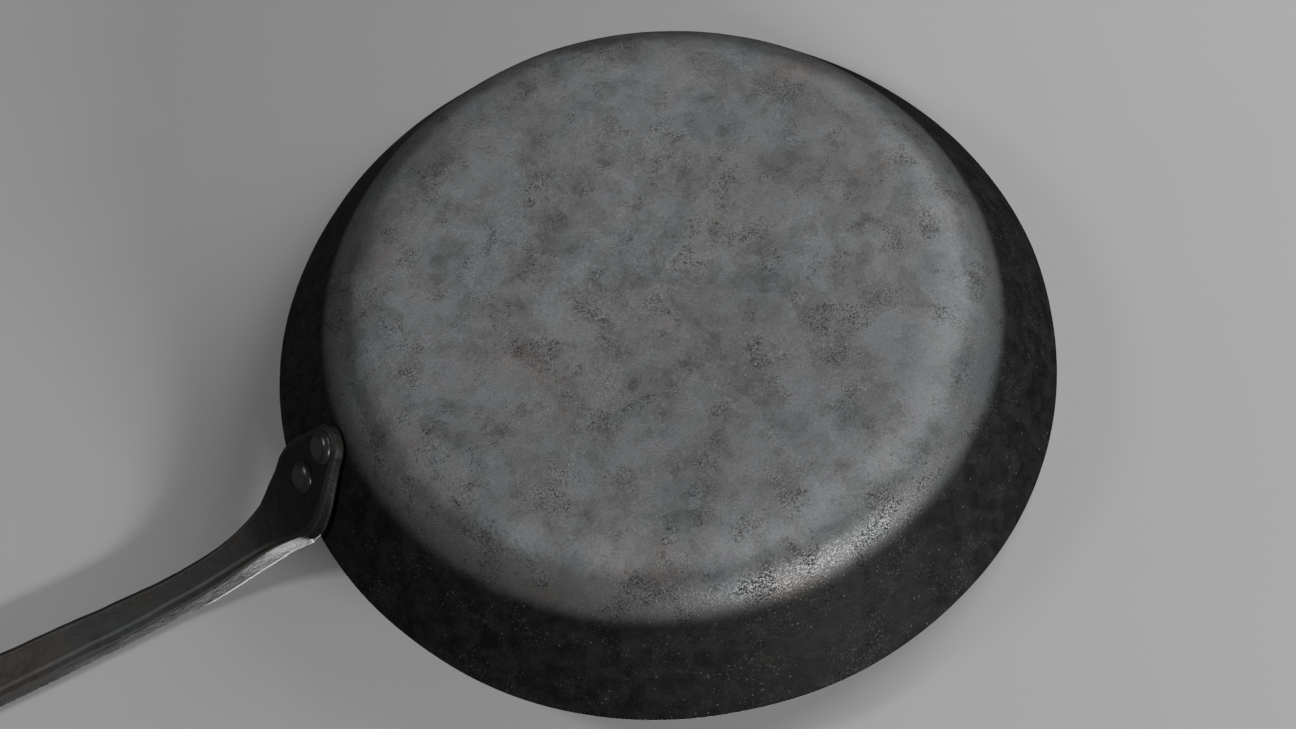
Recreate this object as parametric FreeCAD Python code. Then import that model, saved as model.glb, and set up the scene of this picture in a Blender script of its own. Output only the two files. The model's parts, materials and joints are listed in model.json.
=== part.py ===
"""A steel frying pan with a forged bar handle held by two rivets.

The pan stands on its base with the cooking side up. The origin is the middle of the base's outer
face, +Z is up and the handle runs along +X. All lengths are in millimetres.

The handle is one forging: a spade-shaped plate bedded on the outside of the wall, which turns
outwards past the rim into a chamfered square bar and ends in a flattened eye for hanging.
"""

import FreeCAD, Part

import math
import os

# ---- the pan -------------------------------------------------------------------------------------
RIM_RADIUS = 140.0
PAN_HEIGHT = 48.0
SHEET = 2.5
BASE_FLAT_RADIUS = 88.96
SHOULDER_RADIUS = 34.0
RIM_ROUNDING = 0.5

# ---- the rivets, placed by their distance down the wall from the rim ------------------------------
UPPER_RIVET_DOWN = 14.3
LOWER_RIVET_DOWN = 31.5
SHANK_RADIUS = 3.0
OUTER_HEAD_RADIUS = 6.0
OUTER_HEAD_HEIGHT = 3.2
INNER_HEAD_RADIUS = 6.5
INNER_HEAD_HEIGHT = 2.4

# ---- the handle, whose length is measured along its under face from the rim ------------------------
PLATE_THICKNESS = 4.5
PLATE_TIP_RADIUS = 8.3
PLATE_BEND_START = -9.6
NECK_BEND_RADIUS = 88.0
NECK_END_SLOPE = 18.0
GRIP_BEND_RADIUS = 150.0
GRIP_SLOPE = 6.5
HANDLE_LENGTH = 216.0
EYE_RADIUS = 11.5
EYE_THICKNESS = 7.0
EYE_BLEND = 7.0
EYE_CENTRE = HANDLE_LENGTH - EYE_RADIUS
HANG_HOLE_RADIUS = 4.5
RIM_CLEARANCE = 0.6
BEDDING = 3.0

# Sections across the handle: distance from the rim, full width, depth, edge chamfer.
PLATE_SECTIONS = (
    (-42.0, 15.0, PLATE_THICKNESS + BEDDING, 0.8),
    (-30.0, 17.6, PLATE_THICKNESS + BEDDING, 0.8),
    (-23.0, 23.0, PLATE_THICKNESS + BEDDING, 0.8),
    (-13.0, 30.2, PLATE_THICKNESS + BEDDING, 0.8),
    (-4.0, 30.6, PLATE_THICKNESS + BEDDING, 0.8),
)
BAR_SECTIONS = (
    (4.0, 25.8, 11.5, 0.9),
    (12.0, 20.0, 13.4, 1.1),
    (22.0, 15.8, 13.6, 1.4),
    (34.0, 13.4, 13.6, 1.8),
    (48.0, 12.9, 13.6, 2.2),
    (78.0, 14.6, 13.8, 2.3),
    (112.0, 16.2, 14.0, 2.3),
    (150.0, 16.6, 13.6, 2.3),
    (178.0, 16.2, 11.0, 2.1),
    (EYE_CENTRE - EYE_BLEND, 17.6, EYE_THICKNESS, 1.6),
)


def vector(x, y, z):
    """A point or direction in the pan's frame."""
    return FreeCAD.Vector(x, y, z)


# ---- the wall's straight line, tangent to the shoulder --------------------------------------------
RIM_OUT = RIM_RADIUS - BASE_FLAT_RADIUS
RIM_ABOVE = PAN_HEIGHT - SHOULDER_RADIUS
TO_SHOULDER_CENTRE = math.hypot(RIM_OUT, RIM_ABOVE)
WALL_SLOPE = math.atan2(RIM_ABOVE, RIM_OUT) + math.asin(SHOULDER_RADIUS / TO_SHOULDER_CENTRE)
ALONG_WALL = vector(math.cos(WALL_SLOPE), 0, math.sin(WALL_SLOPE))
OUT_OF_WALL = vector(math.sin(WALL_SLOPE), 0, -math.cos(WALL_SLOPE))
RIM_POINT = vector(RIM_RADIUS, 0, PAN_HEIGHT)


def on_shoulder(radius, angle):
    """A point of the shoulder's arc, at an angle from straight down, in radians."""
    out = BASE_FLAT_RADIUS + radius * math.sin(angle)
    return vector(out, 0, SHOULDER_RADIUS - radius * math.cos(angle))


def half_profile(offset, top):
    """The edges of one skin of the pan, from the axis out to the rim, and the point it ends at.

    The offset is how far the skin lies inside the outer one.
    """
    radius = SHOULDER_RADIUS - offset
    foot = vector(0, 0, offset)
    start = on_shoulder(radius, 0)
    middle = on_shoulder(radius, WALL_SLOPE / 2)
    end = on_shoulder(radius, WALL_SLOPE)
    rise = (top - end.z) / math.sin(WALL_SLOPE)
    rim = end + ALONG_WALL * rise
    edges = [
        Part.LineSegment(foot, start).toShape(),
        Part.Arc(start, middle, end).toShape(),
        Part.LineSegment(end, rim).toShape(),
    ]
    return edges, foot, rim


def turned(edges):
    """The solid that a closed profile in the XZ plane sweeps out about the Z axis."""
    face = Part.Face(Part.Wire(Part.__sortEdges__(edges)))
    return face.revolve(vector(0, 0, 0), vector(0, 0, 1), 360)


def pan_shell():
    """The pressed sheet: base, rounded shoulder, sloping wall and a level rim."""
    outer, outer_foot, outer_rim = half_profile(0, PAN_HEIGHT)
    inner, inner_foot, inner_rim = half_profile(SHEET, PAN_HEIGHT)
    closing = [
        Part.LineSegment(outer_rim, inner_rim).toShape(),
        Part.LineSegment(inner_foot, outer_foot).toShape(),
    ]
    shell = turned(outer + inner + closing)
    rim_edges = [
        edge
        for edge in shell.Edges
        if abs(edge.BoundBox.ZMin - PAN_HEIGHT) < RIM_ROUNDING
        and edge.BoundBox.ZLength < RIM_ROUNDING
    ]
    return shell.makeFillet(RIM_ROUNDING, rim_edges)


def keep_out():
    """All the space inside the wall's outer face, and above the rim: the handle stays out of it."""
    outer, outer_foot, outer_rim = half_profile(0, PAN_HEIGHT)
    lip = vector(RIM_RADIUS + RIM_CLEARANCE, 0, PAN_HEIGHT)
    above_lip = vector(RIM_RADIUS + RIM_CLEARANCE, 0, PAN_HEIGHT * 2)
    above_middle = vector(0, 0, PAN_HEIGHT * 2)
    closing = [
        Part.LineSegment(outer_rim, lip).toShape(),
        Part.LineSegment(lip, above_lip).toShape(),
        Part.LineSegment(above_lip, above_middle).toShape(),
        Part.LineSegment(above_middle, outer_foot).toShape(),
    ]
    return turned(outer + closing)


# ---- the handle's under face, as seen from the side -----------------------------------------------
def bend(start, slope, radius, turn):
    """The point after a bend towards the level, and the slope there."""
    end_slope = slope - turn
    run = radius * (math.sin(slope) - math.sin(end_slope))
    rise = radius * (math.cos(end_slope) - math.cos(slope))
    return start + vector(run, 0, rise), end_slope


def under_face(along):
    """The point of the under face at a distance from the rim, and its slope.

    It runs straight beside the wall, bends outwards past the rim, bends again, gently, at the
    grip, and ends straight.
    """
    beside_rim = RIM_POINT + OUT_OF_WALL * PLATE_THICKNESS
    if along <= PLATE_BEND_START:
        return beside_rim + ALONG_WALL * along, WALL_SLOPE
    point = beside_rim + ALONG_WALL * PLATE_BEND_START
    slope = WALL_SLOPE
    left = along - PLATE_BEND_START
    for radius, end_slope in ((NECK_BEND_RADIUS, NECK_END_SLOPE), (GRIP_BEND_RADIUS, GRIP_SLOPE)):
        turn = min(left / radius, slope - math.radians(end_slope))
        point, slope = bend(point, slope, radius, turn)
        left = max(0.0, left - turn * radius)
    return point + vector(math.cos(slope), 0, math.sin(slope)) * left, slope


def section(along, width, depth, chamfer):
    """One chamfered rectangle across the handle, standing on the under face."""
    point, slope = under_face(along)
    up = vector(-math.sin(slope), 0, math.cos(slope))
    side = vector(0, 1, 0)
    half = width / 2
    flat = half - chamfer
    corners = (
        (-flat, 0),
        (flat, 0),
        (half, chamfer),
        (half, depth - chamfer),
        (flat, depth),
        (-flat, depth),
        (-half, depth - chamfer),
        (-half, chamfer),
    )
    points = [point + side * across + up * height for across, height in corners]
    return Part.makePolygon(points + [points[0]])


def wall_point(down):
    """The point of the wall's outer face at a distance down from the rim."""
    return RIM_POINT - ALONG_WALL * down


def tip_waste():
    """The corners beyond the plate's round tip."""
    centre = wall_point(LOWER_RIVET_DOWN)
    start = centre - OUT_OF_WALL * PLATE_TIP_RADIUS
    block = Part.makeBox(4 * PLATE_TIP_RADIUS, 4 * PLATE_TIP_RADIUS, 2 * PLATE_TIP_RADIUS)
    block.translate(vector(-4 * PLATE_TIP_RADIUS, -2 * PLATE_TIP_RADIUS, 0))
    lean = FreeCAD.Rotation(ALONG_WALL, vector(0, 1, 0), OUT_OF_WALL, "XZY")
    block.Placement = FreeCAD.Placement(start, lean).multiply(block.Placement)
    round_tip = Part.makeCylinder(PLATE_TIP_RADIUS, 2 * PLATE_TIP_RADIUS, start, OUT_OF_WALL)
    return block.cut(round_tip)


def eye():
    """The flattened round end of the handle, and the drill for the hole through it."""
    centre, slope = under_face(EYE_CENTRE)
    up = vector(-math.sin(slope), 0, math.cos(slope))
    disc = Part.makeCylinder(EYE_RADIUS, EYE_THICKNESS, centre, up)
    below = centre - up * EYE_THICKNESS
    drill = Part.makeCylinder(HANG_HOLE_RADIUS, 3 * EYE_THICKNESS, below, up)
    return disc, drill


def at_rivet(shape, down):
    """A shape made about the Z axis, moved to a rivet's place with +Z pointing out of the wall."""
    turn = FreeCAD.Rotation(vector(0, 0, 1), OUT_OF_WALL)
    placed = shape.copy()
    placed.Placement = FreeCAD.Placement(wall_point(down), turn).multiply(shape.Placement)
    return placed


def rivet_hole(down):
    """A drill of the shank's size, long enough to go through plate and wall."""
    reach = 4 * SHEET
    return at_rivet(Part.makeCylinder(SHANK_RADIUS, 2 * reach, vector(0, 0, -reach)), down)


def cap_arc(radius, seat, height):
    """The arc of a domed head from its edge to its crown, which stands a height off the seat."""
    edge = vector(radius, 0, seat)
    crown = vector(0, 0, seat + height)
    ball_radius = (radius**2 + height**2) / (2 * abs(height))
    centre_z = seat + height - math.copysign(ball_radius, height)
    half_angle = math.asin(radius / ball_radius) / 2
    middle_z = centre_z + math.copysign(ball_radius * math.cos(half_angle), height)
    middle = vector(ball_radius * math.sin(half_angle), 0, middle_z)
    return Part.Arc(edge, middle, crown).toShape()


def rivet(down, pan, handle):
    """One rivet: a shank, a domed head on the plate and a lower one on the cooking side.

    The inner head's rim is made a little deep and then cut to the round of the wall.
    """
    inner_seat = -SHEET
    inner_top = inner_seat + SHEET / 2
    corners = (
        vector(INNER_HEAD_RADIUS, 0, inner_seat),
        vector(INNER_HEAD_RADIUS, 0, inner_top),
        vector(SHANK_RADIUS, 0, inner_top),
        vector(SHANK_RADIUS, 0, PLATE_THICKNESS),
        vector(OUTER_HEAD_RADIUS, 0, PLATE_THICKNESS),
    )
    edges = [Part.LineSegment(a, b).toShape() for a, b in zip(corners, corners[1:])]
    edges.append(cap_arc(INNER_HEAD_RADIUS, inner_seat, -INNER_HEAD_HEIGHT))
    edges.append(cap_arc(OUTER_HEAD_RADIUS, PLATE_THICKNESS, OUTER_HEAD_HEIGHT))
    crowns = (
        vector(0, 0, inner_seat - INNER_HEAD_HEIGHT),
        vector(0, 0, PLATE_THICKNESS + OUTER_HEAD_HEIGHT),
    )
    edges.append(Part.LineSegment(*crowns).toShape())
    return at_rivet(turned(edges), down).cut(pan).cut(handle)


def forged_handle(holes):
    """Plate, neck, bar and eye in one solid, bedded on the wall and drilled."""
    sections = [section(*row) for row in PLATE_SECTIONS + BAR_SECTIONS]
    bar = Part.makeLoft(sections, True, False)
    disc, drill = eye()
    bar = bar.cut(tip_waste()).fuse(disc).cut(drill).cut(keep_out())
    for shank in holes:
        bar = bar.cut(shank)
    return bar.removeSplitter()


def main():
    os.makedirs("parts", exist_ok=True)
    holes = [rivet_hole(UPPER_RIVET_DOWN), rivet_hole(LOWER_RIVET_DOWN)]
    pan = pan_shell()
    for shank in holes:
        pan = pan.cut(shank)
    handle = forged_handle(holes)
    nodes = {
        "pan_body": pan,
        "handle": handle,
        "rivet_upper": rivet(UPPER_RIVET_DOWN, pan, handle),
        "rivet_lower": rivet(LOWER_RIVET_DOWN, pan, handle),
    }
    for name, shape in nodes.items():
        shape.exportStep("parts/" + name + ".step")
        print(name, len(shape.Solids), shape.isValid(), round(shape.Volume))


main()
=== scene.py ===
# %% [markdown]
# A frying pan is one pressed steel sheet with a forged bar handle and two rivets. The packed
# model already holds every size, so it is loaded first and stays a fixed frame: each new piece
# is made where the frame says, in metres, and then stands for the plain CAD piece.

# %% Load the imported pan
import itertools
import json
import math

import bmesh
import bpy
import numpy as np
from mathutils import Matrix, Vector


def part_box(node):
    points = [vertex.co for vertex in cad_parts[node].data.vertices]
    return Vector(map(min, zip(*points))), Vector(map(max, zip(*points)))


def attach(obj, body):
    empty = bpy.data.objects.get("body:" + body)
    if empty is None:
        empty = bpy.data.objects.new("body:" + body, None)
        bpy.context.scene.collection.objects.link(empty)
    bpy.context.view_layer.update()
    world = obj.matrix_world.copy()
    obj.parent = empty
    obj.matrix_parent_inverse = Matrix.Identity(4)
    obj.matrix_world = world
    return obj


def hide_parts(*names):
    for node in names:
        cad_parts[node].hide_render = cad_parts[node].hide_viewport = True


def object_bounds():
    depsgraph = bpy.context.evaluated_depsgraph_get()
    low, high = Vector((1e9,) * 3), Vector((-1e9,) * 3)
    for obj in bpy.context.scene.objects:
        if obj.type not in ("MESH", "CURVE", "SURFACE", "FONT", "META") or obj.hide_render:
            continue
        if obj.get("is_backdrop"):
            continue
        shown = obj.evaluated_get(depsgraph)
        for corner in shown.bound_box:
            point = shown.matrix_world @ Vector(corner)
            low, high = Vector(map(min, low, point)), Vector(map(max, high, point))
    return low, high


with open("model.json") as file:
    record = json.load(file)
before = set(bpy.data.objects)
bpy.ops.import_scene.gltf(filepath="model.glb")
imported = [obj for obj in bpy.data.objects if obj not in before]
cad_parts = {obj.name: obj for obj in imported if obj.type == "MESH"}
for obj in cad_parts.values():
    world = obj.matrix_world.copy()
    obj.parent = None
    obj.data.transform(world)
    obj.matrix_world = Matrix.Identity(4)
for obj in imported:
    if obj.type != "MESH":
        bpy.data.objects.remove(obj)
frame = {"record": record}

cad_low, cad_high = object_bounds()
print("CAD box", [round(v, 4) for v in (*cad_low, *cad_high)])

# %% [markdown]
# The pan's outline needs only a few numbers: where the flat base and the straight wall would
# meet if there were no rounded shoulder, the rim, the thickness of the sheet, and the radius
# that rounds each corner. They repeat the CAD sizes, and the frame's box tests them.

# %% Measures of the pan and its handle
MM = 0.001
RIM_RADIUS = 140 * MM
PAN_HEIGHT = 48 * MM
SHEET = 2.5 * MM
WALL_SLOPE = math.radians(55.31)
SHOULDER_RADIUS = 34 * MM
LIP_RADIUS = 0.5 * MM

PLATE_THICKNESS = 4.5 * MM
UPPER_RIVET_DOWN = 14.3 * MM
LOWER_RIVET_DOWN = 31.5 * MM
HANDLE_LENGTH = 216 * MM
EYE_RADIUS = 11.5 * MM
EYE_CENTRE = HANDLE_LENGTH - EYE_RADIUS
HANG_HOLE_RADIUS = 4.5 * MM

ALONG_WALL = np.array((math.cos(WALL_SLOPE), 0, math.sin(WALL_SLOPE)))
OUT_OF_WALL = np.array((math.sin(WALL_SLOPE), 0, -math.cos(WALL_SLOPE)))
RIM_POINT = np.array((RIM_RADIUS, 0, PAN_HEIGHT))

pan_low, pan_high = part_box("pan_body")
print("rim radius less the frame's, mm", round((RIM_RADIUS - pan_high.x) / MM, 2))
print("pan height less the frame's, mm", round((PAN_HEIGHT - pan_high.z) / MM, 2))

# %% [markdown]
# The pan lies turned over, so what is seen is its base, from above. The CAD frame keeps the pan
# the right way up, which means that the camera has to look at it from below. A camera can be
# placed by hand or by four plain facts: the point it aims at, how far away it stands, the two
# angles it looks from, and how much it is rolled about its own line of sight. The facts are
# easier to read and to change. The roll is measured from a camera whose top points down.

# %% Camera
AIM = Vector((15.6, -28.5, 0)) * MM
CAMERA_DISTANCE = 698.7 * MM
AROUND = math.radians(-73.6)
BELOW = math.radians(61.22)
ROLL = math.radians(-7.95)
LENS_MM = 58.33
PICTURE_SHAPE = 1296 / 729

level_out = math.cos(BELOW)
backward = Vector((level_out * math.cos(AROUND), level_out * math.sin(AROUND), -math.sin(BELOW)))
level_right = Vector((0, 0, -1)).cross(backward).normalized()
level_up = backward.cross(level_right)
camera_right = level_right * math.cos(ROLL) + level_up * math.sin(ROLL)
camera_up = level_up * math.cos(ROLL) - level_right * math.sin(ROLL)
camera_place = AIM + backward * CAMERA_DISTANCE


def put_in_scene(name, data):
    """A new object in the scene that holds the data given."""
    made = bpy.data.objects.new(name, data)
    bpy.context.scene.collection.objects.link(made)
    return made


lens = bpy.data.cameras.new("camera")
lens.lens = LENS_MM
camera = put_in_scene("camera", lens)
camera.matrix_world = Matrix((camera_right, camera_up, backward)).transposed().to_4x4()
camera.matrix_world.translation = camera_place
bpy.context.scene.camera = camera
print("camera at, mm", [round(v / MM) for v in camera_place])

# %% [markdown]
# Every piece here is a surface on a grid of points: rows one way and columns the other, worked
# out as whole arrays. One helper turns such a grid into a closed mesh. It joins each point to
# its neighbours with four-cornered faces, merges the points that coincide, and turns the faces
# to the outside by the sign of the volume they enclose.

# %% Grid to mesh
MERGE_DISTANCE = 0.002 * MM


def grid_faces(rows, columns, rows_close, columns_close):
    """Corner numbers of the four-cornered faces between neighbouring rows and columns.

    A direction that closes also joins its last line to its first.
    """
    row = np.arange(rows if rows_close else rows - 1)[:, None]
    column = np.arange(columns if columns_close else columns - 1)[None, :]
    next_row = (row + 1) % rows
    next_column = (column + 1) % columns
    corners = (
        row * columns + column,
        row * columns + next_column,
        next_row * columns + next_column,
        next_row * columns + column,
    )
    return np.stack([np.broadcast_to(c, (row.size, column.size)) for c in corners], -1).reshape(-1, 4)


def enclosed(points, faces):
    """Volume inside closed faces: a sixth of each triangle's first corner dot the cross of the others."""
    a, b, c, d = (points[faces[:, k]] for k in range(4))
    return (np.sum(a * np.cross(b, c)) + np.sum(a * np.cross(c, d))) / 6


def mesh_piece(name, grid, rows_close=False, columns_close=True, masks=None):
    """A smooth closed mesh from a grid of points, with a named mask for each point if given."""
    points = grid.reshape(-1, 3)
    faces = grid_faces(grid.shape[0], grid.shape[1], rows_close, columns_close)
    volume = enclosed(points, faces)
    if volume < 0:
        faces = faces[:, ::-1]
    mesh = bpy.data.meshes.new(name)
    mesh.vertices.add(len(points))
    mesh.vertices.foreach_set("co", points.astype(np.float32).ravel())
    mesh.loops.add(faces.size)
    mesh.loops.foreach_set("vertex_index", faces.astype(np.int32).ravel())
    mesh.polygons.add(len(faces))
    mesh.polygons.foreach_set("loop_start", np.arange(0, faces.size, 4, dtype=np.int32))
    mesh.update(calc_edges=True)
    for mask, values in (masks or {}).items():
        layer = mesh.attributes.new(mask, "FLOAT", "POINT")
        spread_out = np.broadcast_to(values, grid.shape[:2]).astype(np.float32)
        layer.data.foreach_set("value", spread_out.ravel())
    piece = put_in_scene(name, mesh)
    finish_mesh(piece)
    print(name, len(mesh.polygons), "faces,", round(abs(volume) / MM**3), "cubic mm")
    return piece


def finish_mesh(piece):
    """Merges coinciding points, drops faces with no area and shades the rest smooth."""
    work = bmesh.new()
    work.from_mesh(piece.data)
    bmesh.ops.remove_doubles(work, verts=work.verts, dist=MERGE_DISTANCE)
    bmesh.ops.dissolve_degenerate(work, edges=work.edges, dist=MERGE_DISTANCE / 10)
    work.to_mesh(piece.data)
    work.free()
    piece.data.shade_smooth()


# %% [markdown]
# Sheet that has been pressed, heated and knocked is never quite even. The unevenness could be a
# modifier with a texture, but the same numbers are wanted for the shape and for its masks, so a
# small function makes them: random heights on the corners of a cubic lattice, with a smooth
# slope from each corner to the next. Adding a few sizes of lattice gives dents within dents.

# %% Uneven metal
LATTICE = 32


def lumps(points, size, seed):
    """Smooth random heights from -1 to 1, for lumps of the given size.

    Each height is the average of the eight lattice corners round the point, weighted by
    3t squared less 2t cubed of the share of the way towards them in each direction.
    """
    heights = np.random.default_rng(seed).uniform(-1, 1, (LATTICE, LATTICE, LATTICE))
    scaled = points / size
    cell = np.floor(scaled).astype(int)
    share = scaled - cell
    share = share * share * (3 - 2 * share)
    total = np.zeros(points.shape[:-1])
    for corner in itertools.product((0, 1), repeat=3):
        weight = np.prod(np.where(corner, share, 1 - share), axis=-1)
        x, y, z = np.moveaxis((cell + corner) % LATTICE, -1, 0)
        total += weight * heights[x, y, z]
    return total


def lumps_of(points, sizes):
    """Lumps of several sizes added up, each with its own length, height and seed."""
    return sum(size * lumps(points, length, seed) for length, size, seed in sizes)


def ease(value, start, end):
    """0 before the start, 1 after the end, and 3t squared less 2t cubed between."""
    share = np.clip((value - start) / (end - start), 0, 1)
    return share * share * (3 - 2 * share)


def band(value, stops):
    """0 outside four stops and 1 between the middle two, eased on both sides."""
    return ease(value, stops[0], stops[1]) * (1 - ease(value, stops[2], stops[3]))


def surface_normals(grid, outside):
    """Unit cross product of the grid's two directions, turned by the sign given."""
    normal = np.cross(np.gradient(grid, axis=0), np.gradient(grid, axis=1))
    length = np.maximum(np.linalg.norm(normal, axis=-1, keepdims=True), 1e-12)
    return outside * normal / length


# %% [markdown]
# The pan is turned: its outline in one plane is carried once round the middle. The outline is a
# closed path from the middle of the base, out round the shoulder, up the wall, over the lip and
# back along the cooking side. Writing it as a few corners, each rounded by its own radius, is
# shorter than writing the arcs, and it keeps the wall's two skins parallel.

# %% Outline of the pan
FLAT_STEP = 1.25 * MM
ARC_STEP = math.radians(2.6)
LIP_ARC_STEP = math.radians(16)


def rounded_path(corners, radii):
    """Points along a path of straight runs whose inner corners are arcs of the given radii.

    An arc starts and ends the radius times the tangent of half the turn from its corner. Its
    points are its centre plus the radius in directions that turn by equal steps.
    """
    points = []
    last = corners[0]
    for before, corner, after, radius in zip(corners, corners[1:], corners[2:], radii):
        inwards = (corner - before) / np.linalg.norm(corner - before)
        onwards = (after - corner) / np.linalg.norm(after - corner)
        side = np.array((-inwards[1], inwards[0]))
        turn = math.atan2(onwards @ side, onwards @ inwards)
        start = corner - inwards * radius * math.tan(abs(turn) / 2)
        centre = start + side * radius * np.sign(turn)
        step = ARC_STEP if radius > SHEET else LIP_ARC_STEP
        run = max(2, round(np.linalg.norm(start - last) / FLAT_STEP))
        points.append(last + (start - last) * np.linspace(0, 1, run, endpoint=False)[:, None])
        angles = np.linspace(0, turn, max(4, round(abs(turn) / step)))[:, None]
        spoke = start - centre
        points.append(centre + spoke * np.cos(angles) + np.array((-spoke[1], spoke[0])) * np.sin(angles))
        last = points[-1][-1]
        points[-1] = points[-1][:-1]
    run = max(2, round(np.linalg.norm(corners[-1] - last) / FLAT_STEP))
    points.append(last + (corners[-1] - last) * np.linspace(0, 1, run)[:, None])
    return np.concatenate(points)


wall_run = (PAN_HEIGHT / math.tan(WALL_SLOPE), (PAN_HEIGHT - SHEET) / math.tan(WALL_SLOPE))
sheet_across_rim = SHEET / math.sin(WALL_SLOPE)
outline = rounded_path(
    np.array((
        (0, 0),
        (RIM_RADIUS - wall_run[0], 0),
        (RIM_RADIUS, PAN_HEIGHT),
        (RIM_RADIUS - sheet_across_rim, PAN_HEIGHT),
        (RIM_RADIUS - sheet_across_rim - wall_run[1], SHEET),
        (0, SHEET),
    )),
    (SHOULDER_RADIUS, LIP_RADIUS, LIP_RADIUS, SHOULDER_RADIUS - SHEET),
)
print("outline points", len(outline), "widest, mm", round(outline[:, 0].max() / MM, 2))

# %% [markdown]
# Turning the outline gives a perfect pan, and a used pan is not perfect. Its rim waves by a few
# tenths of a millimetre, its base is dished so that it stands on a ring, and its skin has long
# shallow dents that break up a highlight. Both skins are moved together, so the sheet keeps its
# thickness. Five masks go with the shape: the base that rubs on the hob, which is also where
# painted light greys the sheet; a ring at its edge, where a highlight is painted; the burnished
# band on the shoulder; the cooking side; and the bare lip.

# %% Pan body
COLUMNS = 360
RIM_WAVES = ((2, 0.30, 0.4), (3, 0.22, 1.9), (5, 0.16, 4.1), (9, 0.10, 0.8), (14, 0.06, 2.7))
BASE_DISH = 0.35 * MM
SKIN_LUMPS = ((46 * MM, 0.20 * MM, 11), (19 * MM, 0.08 * MM, 12), (7 * MM, 0.03 * MM, 13))

around = np.linspace(0, 2 * math.pi, COLUMNS, endpoint=False)
radius = outline[:, :1]
height = np.repeat(outline[:, 1:], COLUMNS, axis=1)
circle = np.stack((np.cos(around), np.sin(around)), -1)
pan_grid = np.concatenate((radius[..., None] * circle, height[..., None]), axis=-1)

towards_rim = ease(pan_grid[..., 2], 12 * MM, PAN_HEIGHT)
waves = sum(size * np.cos(count * around + start) for count, size, start in RIM_WAVES) * MM
pan_grid[..., 2] += towards_rim * waves
pan_grid[..., :2] *= 1 + (towards_rim * np.roll(waves, COLUMNS // 5) / RIM_RADIUS)[..., None]
pan_grid[..., 2] += BASE_DISH * (1 - ease(radius, 20 * MM, 88 * MM)) * (1 - towards_rim)

skin = pan_grid * np.array((1, 1, 0))
lift = lumps_of(skin, SKIN_LUMPS)
slope_out = ease(radius, 88 * MM, 112 * MM)
push = np.concatenate((slope_out[..., None] * circle * 0.8, -np.ones_like(height)[..., None]), axis=-1)
near_centre = ease(radius, 0, 12 * MM)
pan_grid += push * (lift * near_centre * (0.4 + 0.6 * slope_out))[..., None]

# %% Masks on the pan
# Where the base mask is full the sheet is light grey: partly the hob's wear, partly painted light for the
# overhead light that the flat base reflects.
BASE_FADES = (100 * MM, 115.5 * MM)
# The next band is a painted highlight: a paler ring where the shoulder starts to turn.
EDGE_SHEEN_STOPS = np.array((92, 101, 104, 112)) * MM
BURNISH_STOPS = np.array((106, 113, 114, 119.5)) * MM
LIP_STARTS = 1.1 * MM
LIP_IS_FULL = 0.2 * MM

half_way = int(np.argmax(outline[:, 1]))
row = np.arange(len(outline))
outer_skin = (row <= half_way + 2)[:, None]
pan = mesh_piece("pan_body_sheet", pan_grid, masks={
    "base": outer_skin * (1 - ease(radius, *BASE_FADES)),
    "edge_sheen": outer_skin * band(radius, EDGE_SHEEN_STOPS),
    "burnish": outer_skin * band(radius, BURNISH_STOPS),
    "inside": (row > half_way + 8)[:, None] * np.ones_like(radius),
    "lip": ease(outline[:, 1:], PAN_HEIGHT - LIP_STARTS, PAN_HEIGHT - LIP_IS_FULL),
})

# %% [markdown]
# The handle is one forging. Seen from the side it follows a path that starts beside the wall,
# bends outwards past the rim and then runs nearly level. A path made of steady bends is easiest
# to write by its slope: the slope is a broken line, and each point is the sum of small steps
# taken in the slope's direction.

# %% Path of the handle's under face
BEND_START = -9.6 * MM
NECK_BEND_RADIUS = 88 * MM
NECK_END_SLOPE = math.radians(18)
GRIP_BEND_RADIUS = 150 * MM
GRIP_SLOPE = math.radians(6.5)
PATH_STEP = 0.05 * MM

neck_end = BEND_START + NECK_BEND_RADIUS * (WALL_SLOPE - NECK_END_SLOPE)
grip_start = neck_end + GRIP_BEND_RADIUS * (NECK_END_SLOPE - GRIP_SLOPE)
path_along = np.arange(-45 * MM, HANDLE_LENGTH + PATH_STEP, PATH_STEP)
bend_stations = (BEND_START, neck_end, grip_start)
path_slope = np.interp(path_along, bend_stations, (WALL_SLOPE, NECK_END_SLOPE, GRIP_SLOPE))
steps = np.stack((np.cos(path_slope), np.zeros_like(path_slope), np.sin(path_slope)), -1) * PATH_STEP
path_start = RIM_POINT + OUT_OF_WALL * PLATE_THICKNESS + ALONG_WALL * path_along[0]
path_points = path_start + np.cumsum(steps, axis=0) - steps[0]


def on_path(along):
    """The path's point, and the direction up through the handle, at distances from the rim."""
    point = np.stack([np.interp(along, path_along, path_points[:, k]) for k in range(3)], -1)
    slope = np.interp(along, path_along, path_slope)
    up = np.stack((-np.sin(slope), np.zeros_like(slope), np.cos(slope)), -1)
    return point, up


path_end, end_up = on_path(np.array(HANDLE_LENGTH))

# %% [markdown]
# Seen square on, the handle is a spade, a waist and a round eye. Its half width along the path
# is a smooth line through a few measured stations. The two round ends are circles, joined to
# that line where they are wider than it. Walking round this shape gives one closed outline, and
# the small irregular wander of a hand-finished edge is added to it.

# %% Shape of the handle, square on
STATIONS = (-34.2, -30, -23, -17, -12, -3, 2, 9, 15.5, 22.5, 32, 42, 54, 82, 112, 150, 185, 205, 210)
HALF_WIDTHS = (
    7.1, 8.7, 11.5, 13.9, 15.1, 15.4, 13.6, 11.2, 9.0, 7.8, 6.7, 6.35, 6.5, 7.4, 8.1, 8.3, 8.2, 7.4, 1)
TIP_RADIUS = 7.8 * MM
TIP_CENTRE = -31.2 * MM
EYE_BLEND_START = 150 * MM
OUTLINE_STEP = 0.62 * MM


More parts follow.
